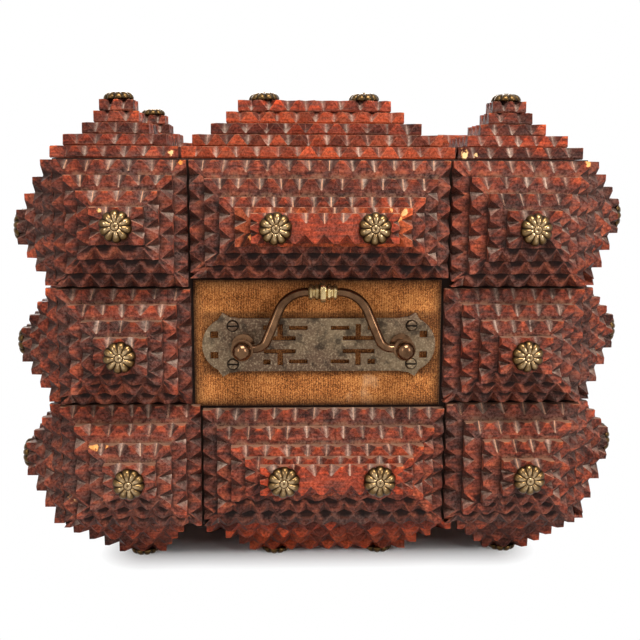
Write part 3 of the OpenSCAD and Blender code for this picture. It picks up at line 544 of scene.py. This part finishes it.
def notchedOutline(w, h, t, rng, bands):
    # rings of points: glued side, foot of the notches, outer side and the uncut field inside them
    c, paint = carving, layerPaint
    rings = {"glued": [], "foot": [], "outer": [], "inner": []}
    kinds, roots, tips, edges = [], [], [], []
    corners = [(-w / 2, -h / 2), (w / 2, -h / 2), (w / 2, h / 2), (-w / 2, h / 2)]
    deepest = min(c["depth"], min(w, h) * c["mostDepth"])
    deeper = 1 + c["depthSpread"] * 0.4
    inside = [max(deepest * deeper + c["strip"], band) for band in bands]
    for edge in range(4):
        start, end = Vector(corners[edge]), Vector(corners[(edge + 1) % 4])
        along = (end - start).normalized()
        inward = Vector((-along.y, along.x))
        length = (end - start).length
        count = max(2, round((length - 2 * c["cornerLand"]) / c["pitch"]))
        pitch = (length - 2 * c["cornerLand"]) / count

        def put(low, foot, outer, footZ, drop, root, tip):
            # one column of points; low, foot and outer are along and inside
            kept = min(max(outer[0], inside[edge - 1]), length - inside[(edge + 1) % 4])
            column = (("glued", low, 0), ("foot", foot, footZ), ("outer", outer, t - drop),
                      ("inner", (kept, inside[edge]), t))
            for ring, (s, into), z in column:
                p = start + along * s + inward * into
                rings[ring].append((p.x, p.y, z))
            roots.append(root)
            tips.append(tip)
            edges.append(edge)

        worn = rng.uniform(0, c["tipWear"])
        under, drawn = c["undercut"], worn * c["drawIn"]
        put((under, under), (0, 0), (drawn, drawn), c["foot"], worn, (0, 0), paint["cornerRed"])
        kinds.append("land")
        for i in range(count):
            middle = c["cornerLand"] + (i + 0.5) * pitch + rng.uniform(-1, 1) * c["wander"]
            half = (pitch - c["tipLand"]) / 2 * rng.uniform(0.86, 0.97)
            depth = deepest * rng.uniform(1 - c["depthSpread"], deeper)
            lean = rng.uniform(-c["lean"], c["lean"])
            root = c["rootHalf"] * rng.uniform(0.6, 1.5)
            foot = c["foot"] * rng.uniform(0.7, 2.2)
            drops = [rng.uniform(0, c["tipWear"]) ** 1.5 for _ in range(2)]
            near, far = root * 0.6, root * 0.6 + 0.25
            # tooth, both sides of the root, tooth: foot, outer point, drop and how the colour runs
            columns = (
                (middle - far, (middle - half, drops[0] * c["drawIn"]), drops[0], 0, paint["toothRed"]),
                (middle - near, (middle + lean - root, depth), 0, 0.8, paint["rootRed"]),
                (middle + near, (middle + lean + root, depth), 0, 0.8, paint["rootRed"]),
                (middle + far, (middle + half, drops[1] * c["drawIn"]), drops[1], 0, paint["toothRed"]),
            )
            for at, outer, drop, rootMark, tip in columns:
                put((at, under), (at, 0), outer, foot, drop, (1, rootMark), tip)
            kinds += ["facet", "root", "facet", "land"]
    return rings, kinds, roots, tips, edges


# dust (over 0) or painted shadow as a dark gap (under 0) where the next layer meets the lower, right, upper
# and left band
upright = (-1.5, -0.85, 1, -0.85)  # on the walls
meeting = {"lid": (1,) * 4, "foot": (-0.8,) * 4}
tipReds = (0.1, 0.6, 1, 0.6)  # how red the teeth are there, but all alike on the lid; over 0.85 they also get the painted orange highlight


def bandsUnder(base, size, above, axes):
    # how wide the bands are that the layer above leaves free: below, right, above and left of it
    if not above:
        return (0,) * 4
    across, up = [(above[0] - base).dot(axis) for axis in axes[:2]]
    spareX, spareY = [(size[i] - above[1][i]) / 2 for i in (0, 1)]
    free = (spareY + up, spareX - across, spareY - up, spareX + across)
    return [x / mm + 0.3 for x in free]


def carveLayer(obj, base, axes, size, number, rng, above, gaps, reds):
    # drawn as a ring, filled, and drawn out to the notched outer side
    bands = bandsUnder(base, size, above, axes)
    rings, kinds, roots, tips, edges = notchedOutline(*[x / mm for x in size], rng, bands)
    turn = turnTo(axes)
    bpy.ops.mesh.select_all(action="DESELECT")
    bpy.ops.mesh.primitive_circle_add(vertices=len(kinds), radius=0.01)
    for level, ring in enumerate(("glued", "foot", "outer", "inner")):
        if level == 1:
            bpy.ops.mesh.edge_face_add()
        if level:
            bpy.ops.mesh.extrude_region_move()
        mesh = bmesh.from_edit_mesh(obj.data)
        order, layer, step = [mesh.verts.layers.int[x] for x in ("order", "layer", "step")]
        root, tip, near = [mesh.verts.layers.float[x] for x in ("root", "tip", "near")]
        picked = [v for v in mesh.verts if v.select]
        for i, v in enumerate(picked):
            if level == 0:
                v[order], v[layer] = i, number
            v[step] = level
            v[root] = roots[v[order]][level - 1] if level in (1, 2) else 0
            v[tip] = tips[v[order]] * reds[edges[v[order]]] if level == 2 else 0
            v[near] = gaps[edges[v[order]]] if level == 3 else 0
            v.co = base + turn @ (Vector(rings[ring][v[order]]) * mm)
        bmesh.update_edit_mesh(obj.data)
    return kinds, edges


def paintLayer(mesh, number, kinds, edges, rng, fresh, lowest):
    # what each face is: carve = chip, up, fresh; wear = tone, arris, mark (dust in the cut)
    order, layer, step = [mesh.verts.layers.int[x] for x in ("order", "layer", "step")]
    carve, wear = [mesh.faces.layers.float_color[x] for x in ("carve", "wear")]
    base = rng.uniform(0.2, 0.75)
    tones = [min(1, max(0, base + rng.uniform(-0.5, 0.5))) for _ in kinds]
    marks = [rng.uniform(0.25, 1.0) for _ in range(len(kinds) // 4 + 1)]
    for face in mesh.faces:
        if face.verts[0][layer] != number:
            continue
        steps = {v[step] for v in face.verts}
        kind, tone, at = "flat", base, 0
        if len(steps) > 1:
            ids = sorted({v[order] for v in face.verts})
            at = ids[-1] if ids[0] == 0 and ids[-1] == len(kinds) - 1 else ids[0]
            kind = kinds[at] if steps == {1, 2} else "land"
            tone = tones[at] if steps == {1, 2} else (base + tones[at]) / 2
        cut = kind in ("facet", "root")
        red = layerPaint["gluedRed"] if steps == {0} else fresh
        face[carve] = (1 if cut else 0, face.normal.z, red, 1)
        dusty = marks[at // 4]
        # painted shade: side cuts of the lowest layer beside the neighbouring stack, and side cuts facing
        # down
        if cut and edges[at] in (1, 3):
            if lowest:
                tone *= layerPaint["besideShade"]
                dusty *= layerPaint["besideDust"]
            elif face.normal.z < 0:
                tone *= layerPaint["underShade"]
        face[wear] = (tone, 0, dusty, 1)


def wearAndHighlightEdges(obj):
    # a narrow bevel, told by its material number, eases the outline and two in four columns of points:
    # the teeth's arrises on the first edge, and one column further back on each edge after it
    bpy.ops.mesh.select_all(action="DESELECT")
    mesh = bmesh.from_edit_mesh(obj.data)
    order, step = [mesh.verts.layers.int[x] for x in ("order", "step")]
    for edge in mesh.edges:
        a, b = edge.verts
        steps = {a[step], b[step]}
        column = steps == {1, 2} and a[order] == b[order]
        if steps == {2} or (column and (a[order] - 1) % 4 in (0, 3)):
            edge.select = True
    mesh.select_flush_mode()
    bmesh.update_edit_mesh(obj.data)
    bpy.ops.mesh.bevel(offset=carving["arris"] * mm, segments=1, affect="EDGES", clamp_overlap=True,
                       material=1)
    mesh = bmesh.from_edit_mesh(obj.data)
    wear = mesh.faces.layers.float_color["wear"]
    for face in mesh.faces:
        if face.material_index == 1:
            # bevel faces facing up get the pale arris paint in full, as wear and painted highlight
            worn = 1 if face.normal.z > 0.55 else carving["shelteredAndShaded"]
            face[wear] = (face[wear][0], worn, face[wear][2], 1)
            face.material_index = 0
    bmesh.update_edit_mesh(obj.data)


def faceOutwards(mesh, layer, number):
    # a layer whose volume comes out negative is inside out
    faces = [f for f in mesh.faces if f.verts[0][layer] == number]
    if sum(f.normal.dot(f.calc_center_median()) * f.calc_area() for f in faces) < 0:
        for f in faces:
            f.normal_flip()


# how fresh the stain is, layer by layer: 1 is red, 2 is orange
plainFresh = [0.1, 0.2, 0.1, 0.25, 0.1]
freshLayers = {
    "front_top_centre_pyramid": [0.05, 0.1, 0.3, 1.9, 0.8],
    "front_bottom_centre_pyramid": [0.05, 0.1, 0.2, 0.4, 0.8],
    "lid_front_centre_pyramid": [1.25, 1.35, 0.8, 1.3, 0.7],
    "lid_front_left_pyramid": [0.3, 0.6, 0.3, 0.3, 0.2],
    "lid_front_right_pyramid": [0.3, 0.5, 0.3, 0.3, 0.2],
    "lid_back_right_pyramid": [0.8, 1.2, 1.6],
    "front_centre_foot": [0.8, 1.2, 1.3, 1.3],
}


def layerAbove(layers, base, size, out):
    # the layer that sits on this one, if there is one
    over = base + out * size[2]
    for other in layers:
        gap = over - other[0]
        if abs(gap.dot(out)) < mm and gap.length < min(size[:2]) / 2:
            return other
    return None


def carvePyramids(node):
    face = faceOf(node)
    axes = faceAxes[face]
    fresh = freshLayers.get(node, plainFresh)
    rng = random.Random(node)
    layers = sorted((onAxes(box, axes) for box in solidBoxes(node)),
                    key=lambda x: (round(x[0].dot(axes[2]), 5), x[0].dot(axes[0])))
    # the second slot marks the worn edges, which get the pale arris paint with painted highlight
    obj = startMesh(node + "_carving", [woodAlongX] * 2)
    mesh = bmesh.from_edit_mesh(obj.data)
    for name in ("order", "layer", "step"):
        mesh.verts.layers.int.new(name)
    for name in ("root", "tip", "near"):
        mesh.verts.layers.float.new(name)
    for name in ("carve", "wear"):
        mesh.faces.layers.float_color.new(name)
    bmesh.update_edit_mesh(obj.data)
    reds = (1,) * 4 if face == "lid" else tipReds
    outlines = []
    for i, (base, size) in enumerate(layers):
        above = layerAbove(layers, base, size, axes[2])
        gaps = meeting.get(face, upright) if above else (0,) * 4
        outlines.append(carveLayer(obj, base, axes, size, i, rng, above, gaps, reds))
    bpy.ops.mesh.select_all(action="SELECT")
    bpy.ops.mesh.remove_doubles(threshold=0.000002)
    bpy.ops.mesh.normals_make_consistent(inside=False)
    mesh = bmesh.from_edit_mesh(obj.data)
    mesh.normal_update()
    for i, (kinds, edges) in enumerate(outlines):
        faceOutwards(mesh, mesh.verts.layers.int["layer"], i)
        lowest = (layers[i][0] - layers[0][0]).dot(axes[2]) < mm
        paintLayer(mesh, i, kinds, edges, rng, fresh[i % len(fresh)], lowest)
    bmesh.update_edit_mesh(obj.data)
    wearAndHighlightEdges(obj)
    bpy.ops.object.mode_set(mode="OBJECT")
    finishPiece(obj, woodAlongY if face in ("left", "right") else woodAlongX, [node])


carvedNodes = [n for n in cadNodes if n.endswith(("pyramid", "pyramids", "foot"))]
for node in carvedNodes:
    carvePyramids(node)
print("carved nodes:", len(carvedNodes))


# rosette nails, in mm

rosetteShape = {
    "petals": 10, "perPetal": 10, "groove": 0.85, "scallop": 0.8,
    "roundness": 0.97,                   # how steeply a petal falls to its grooves
    "petalStart": (1.9, 0.9), "rim": (4.4, 2.6), "scallopStart": (3, 3),  # radius, and how soon in full
    "ring": (1.7, 2.1), "eye": 0.7,      # tarnished radii round the centre
    "tarnish": 0.35, "rimTarnish": 0.5,
    "height": 4.2, "wornHeight": 3.4,    # the nails under the feet are worn flat
    "tilt": 4,                           # degrees
    "profile": [
        (6.6, 0.0), (7.3, 0.3), (7.5, 0.9), (7.35, 1.6), (6.9, 2.4), (6.1, 3.1), (5.0, 3.6), (3.9, 3.85),
        (2.9, 3.85), (2.3, 3.6), (1.95, 3.45), (1.75, 3.6), (1.6, 4.05), (1.3, 4.2), (0.8, 4.0), (0.0, 3.6),
    ],
}


def makeRosette():
    # a profile spun round the nail, then fluted into petals
    r = rosetteShape
    obj = startMesh("rosette")
    mesh = bmesh.from_edit_mesh(obj.data)
    points = [mesh.verts.new((x * mm, 0, z * mm)) for x, z in [(0.0, 0.0)] + r["profile"]]
    for a, b in zip(points, points[1:]):
        mesh.edges.new((a, b))
    bmesh.update_edit_mesh(obj.data)
    bpy.ops.mesh.select_all(action="SELECT")
    bpy.ops.mesh.spin(steps=r["petals"] * r["perPetal"], angle=2 * math.pi, center=(0, 0, 0),
                      axis=(0, 0, 1))
    bpy.ops.mesh.select_all(action="SELECT")
    bpy.ops.mesh.remove_doubles(threshold=0.00001)
    bpy.ops.mesh.normals_make_consistent(inside=False)
    mesh = bmesh.from_edit_mesh(obj.data)
    crest = mesh.verts.layers.float.new("crest")
    for v in mesh.verts:
        radius = v.co.xy.length / mm
        across = math.atan2(v.co.y, v.co.x) * r["petals"] / (2 * math.pi) % 1 * 2 - 1
        groove = (1 - math.sqrt(1 - r["roundness"] * across * across)) * fadeIn(radius, *r["petalStart"])
        dull = r["ring"][0] < radius < r["ring"][1] or radius < r["eye"]
        v[crest] = (1 - groove) * (1 - r["rimTarnish"] * fadeIn(radius, *r["rim"]))
        v[crest] *= r["tarnish"] if dull else 1
        if v.co.z > 0.1 * mm:
            v.co.z = max(0.2 * mm, v.co.z - groove * r["groove"] * mm)
        if radius > r["scallopStart"][0]:
            v.co.xy *= 1 - groove * r["scallop"] / radius * fadeIn(radius, *r["scallopStart"])
    bmesh.update_edit_mesh(obj.data)
    bpy.ops.object.mode_set(mode="OBJECT")
    bpy.ops.object.shade_smooth()
    return obj


rosette = makeRosette()


def setRosettes(node):
    # every nail of the node gets its own copy, turned at random and a little out of true
    rng = random.Random(node)
    face = faceOf(node)
    axes = faceAxes[face]
    worn = face == "foot"
    height = rosetteShape["wornHeight" if worn else "height"]
    copies = []
    for box in solidBoxes(node):
        base, size = onAxes(box, axes)
        seat = base + axes[2] * (size[2] - height * mm)
        copy = bpy.data.objects.new("nail", rosette.data.copy())
        bpy.context.scene.collection.objects.link(copy)
        if worn:
            for v in copy.data.vertices:
                v.co.z = min(v.co.z, height * mm)
        tilt = math.radians(rng.uniform(-1, 1) * rosetteShape["tilt"]) * (not worn)
        spin = Euler((tilt, 0, rng.uniform(0, 2 * math.pi))).to_matrix()
        turn = turnTo(axes) @ spin
        copy.data.transform(Matrix.Translation(seat) @ turn.to_4x4())
        copies.append(copy)
    deselectAll()
    for copy in copies:
        copy.select_set(True)
    bpy.context.view_layer.objects.active = copies[0]
    bpy.ops.object.join()
    finishPiece(nameLast(node + "_brass"), rosetteMetal, [node])


rosetteNodes = [n for n in cadNodes if n.endswith("rosettes")]
for node in rosetteNodes:
    setRosettes(node)
bpy.data.objects.remove(rosette)
print("rosettes set:", len(rosetteNodes), "groups")


# velvet, in mm

velvetShape = {
    "step": 1.6, "thick": 1.0,
    "sunk": 0.12,          # how far it stays below the solid's face
    "ripple": 0.12, "rippleScale": 0.09,
    "pinned": 3,           # band at the edge without ripples
    "edgeBand": 6.5, "edgeCurve": 1.3, "underPlate": 0.68,   # painted shade at the edge and behind the plate
}


def edgeShade(rim):
    return max(0, 1 - rim / velvetShape["edgeBand"]) ** velvetShape["edgeCurve"]


def layVelvet(node):
    shape = velvetShape
    face = faceOf(node)
    axes = faceAxes[face]
    base, size = onAxes(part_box(node), axes)
    w, h = size[0] / mm, size[1] / mm
    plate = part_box("handle_plate")
    deselectAll()
    bpy.ops.mesh.primitive_grid_add(x_subdivisions=round(w / shape["step"]),
                                    y_subdivisions=round(h / shape["step"]), size=1)
    obj = nameLast(node + "_cloth")
    edge = obj.data.attributes.new("edge", "FLOAT", "POINT")
    turn = turnTo(axes)
    for i, v in enumerate(obj.data.vertices):
        x, y = v.co.x * w, v.co.y * h
        rim = min(w / 2 - abs(x), h / 2 - abs(y))
        edge.data[i].value = edgeShade(rim)
        place = base + turn @ (Vector((x, y, 0)) * mm)
        # painted shade on the velvet behind the plate
        if face == "front" and all(plate[0][k] < place[k] < plate[1][k] for k in (0, 2)):
            edge.data[i].value = max(edge.data[i].value, shape["underPlate"])
        lift = noise.noise(Vector((x, y, 3)) * shape["rippleScale"]) * shape["ripple"]
        z = size[2] / mm - shape["thick"] - shape["sunk"] + lift * min(1, rim / shape["pinned"])
        v.co = base + turn @ (Vector((x, y, max(0, z))) * mm)
    solid = obj.modifiers.new("pile", "SOLIDIFY")
    solid.thickness = shape["thick"] * mm
    solid.offset = 1
    bpy.ops.object.modifier_apply(modifier="pile")
    bpy.ops.object.shade_smooth()
    finishPiece(obj, velvet, [node])


for side in ("front", "back", "left", "right"):
    layVelvet(side + "_velvet")

lidPad = {"edge": 1.3, "crown": 0.5, "crownBand": 12, "cuts": 6}


def padLid():
    # a thin board covered with velvet: soft edges and a slight crown
    node = "lid_velvet_panel"
    low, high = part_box(node)
    deselectAll()
    bpy.ops.mesh.primitive_cube_add(size=1, location=(low + high) / 2, scale=high - low)
    obj = nameLast(node + "_cloth")
    bpy.ops.object.transform_apply(location=True, rotation=True, scale=True)
    bpy.ops.object.mode_set(mode="EDIT")
    bpy.ops.mesh.select_all(action="SELECT")
    bpy.ops.mesh.bevel(offset=lidPad["edge"] * mm, segments=3, affect="EDGES")
    bpy.ops.mesh.select_all(action="SELECT")
    bpy.ops.mesh.subdivide(number_cuts=lidPad["cuts"])
    bpy.ops.object.mode_set(mode="OBJECT")
    edge = obj.data.attributes.new("edge", "FLOAT", "POINT")
    for i, v in enumerate(obj.data.vertices):
        rim = min(v.co.x - low.x, high.x - v.co.x, v.co.y - low.y, high.y - v.co.y) / mm
        edge.data[i].value = edgeShade(rim)
        if v.co.z > high.z - 0.1 * mm:
            v.co.z -= lidPad["crown"] * mm * max(0, 1 - rim / lidPad["crownBand"])
    bpy.ops.object.shade_smooth()
    finishPiece(obj, velvet, [node])


padLid()
print("velvet laid")


# metal and boards: copies of the solids with eased edges

def easedCopy(node, name, material, bevel, angle=30):
    obj = bpy.data.objects.new(name, cadNodes[node].data.copy())
    obj.data.name = name
    bpy.context.scene.collection.objects.link(obj)
    makeActive(obj)
    bpy.ops.object.mode_set(mode="EDIT")
    bpy.ops.mesh.select_all(action="SELECT")
    bpy.ops.mesh.remove_doubles(threshold=0.000002)
    bpy.ops.mesh.dissolve_limited(angle_limit=math.radians(1))
    bpy.ops.object.mode_set(mode="OBJECT")
    if bevel:
        soft = obj.modifiers.new("eased", "BEVEL")
        soft.width = bevel * mm
        soft.segments = 2
        soft.limit_method = "ANGLE"
        soft.angle_limit = math.radians(angle)
        bpy.ops.object.modifier_apply(modifier="eased")
    bpy.ops.object.shade_smooth_by_angle(angle=math.radians(angle))
    finishPiece(obj, material, [node])


# width of the eased edge in mm, and the angle from which an edge is sharp
easedCopy("handle_plate", "piercedPlate", plateBronze, 0.22)
easedCopy("handle_screws", "plateScrews", screwBronze, 0.15)
easedCopy("handle_posts", "bailPosts", bailBrass, 0.2)
easedCopy("bail_ferrule", "turnedFerrule", ferruleBrass, 0.15, 20)
easedCopy("handle_bail", "bailRod", bailBrass, 0, 50)
hingeNames = {
    "hinge_box_leaves": "boxHingeLeaves",
    "hinge_lid_leaves": "lidHingeLeaves",
    "hinge_pins": "hingePins",
    "hinge_box_screws": "boxHingeScrews",
    "hinge_lid_screws": "lidHingeScrews",
}
for node, name in hingeNames.items():
    easedCopy(node, name, hingeBrass, 0.1)
for node in ("bottom_board", "front_wall", "back_wall", "left_wall", "right_wall", "lid_board"):
    easedCopy(node, node + "_plank", carcassBoard, 0.4)
print("metal and boards ready")


# studio

studio = {
    "camera": (-18.7, -547.7, 195.8), "pan": -2.2, "tilt": 81.35, "roll": -0.2, "lens": 54.02,
    "floor": (0.90, 0.90, 0.90),
    "shadow": (88, 64, 0), "shadowFade": 26,   # the floor beyond shows as white, in mm
    "fill": 0.05,                              # light from all round
    "aim": (0, 0, 0.1),                        # where the lamps point
}

# place and size in metres, power in watts
lamps = {
    "topSoftbox": ((0.16, -0.62, 1.18), (0.6, 0.35), 20),
    "leftStrip": ((-0.90, -1.05, 0.62), (0.30, 0.6), 3.4),
    "rightStrip": ((1.00, -1.05, 0.60), (0.30, 0.6), 8.2),
    "backSoftbox": ((-0.25, 1.35, 0.70), (1.0, 0.6), 13),
}

for name, (place, size, power) in lamps.items():
    deselectAll()
    bpy.ops.object.light_add(type="AREA", location=place)
    lamp = bpy.context.active_object
    lamp.name = name
    lamp.data.energy = power
    lamp.data.shape = "RECTANGLE"
    lamp.data.size, lamp.data.size_y = size
    lamp.rotation_euler = (Vector(studio["aim"]) - Vector(place)).to_track_quat("-Z", "Y").to_euler()

deselectAll()
bpy.ops.object.camera_add(location=Vector(studio["camera"]) * mm)
camera = bpy.context.active_object
camera.rotation_euler = [math.radians(studio[x]) for x in ("tilt", "roll", "pan")]
camera.data.lens = studio["lens"]
camera.data.sensor_width = 36
camera.data.clip_start = 0.01
bpy.context.scene.camera = camera


def seenAsBackground(kit):
    # 1 for what the camera, reflections and glass show, 0 for the light on the object
    path = kit.add("ShaderNodeLightPath").outputs
    return kit.most(path["Is Camera Ray"], kit.most(path["Is Glossy Ray"], path["Is Transmission Ray"]))


def floorPaint():
    s = Shader("paleFloor")
    s.set(Base_Color=studio["floor"], Roughness=0.9)
    apart = s.vectors("SUBTRACT", s.vectors("ABSOLUTE", s.place), [x * mm for x in studio["shadow"]])
    distance = s.vectors("LENGTH", s.vectors("MAXIMUM", apart), output="Value")
    far = s.times(s.span(distance, 0.0, studio["shadowFade"] * mm), seenAsBackground(s))
    glow = s.add("ShaderNodeEmission", {"Color": (1, 1, 1, 1), "Strength": 1.0}).outputs[0]
    blend = s.add("ShaderNodeMixShader", {0: far, 1: s.surface.outputs[0], 2: glow}).outputs[0]
    s.feed(s.tree.nodes["Material Output"].inputs["Surface"], blend)
    return s.material


deselectAll()
bpy.ops.mesh.primitive_plane_add(size=12)
floor = nameLast("floor")
floor.data.materials.append(floorPaint())


def whiteRoom():
    world = bpy.data.worlds.new("whiteRoom")
    world.use_nodes = True
    kit = NodeKit(world.node_tree)
    ground = world.node_tree.nodes["Background"]
    kit.feed(ground.inputs["Color"], (1, 1, 1, 1))
    kit.feed(ground.inputs["Strength"], kit.span(seenAsBackground(kit), 0, 1, studio["fill"], 1.0))
    return world


bpy.context.scene.world = whiteRoom()
bpy.context.scene.view_settings.view_transform = "Standard"
print("studio ready")
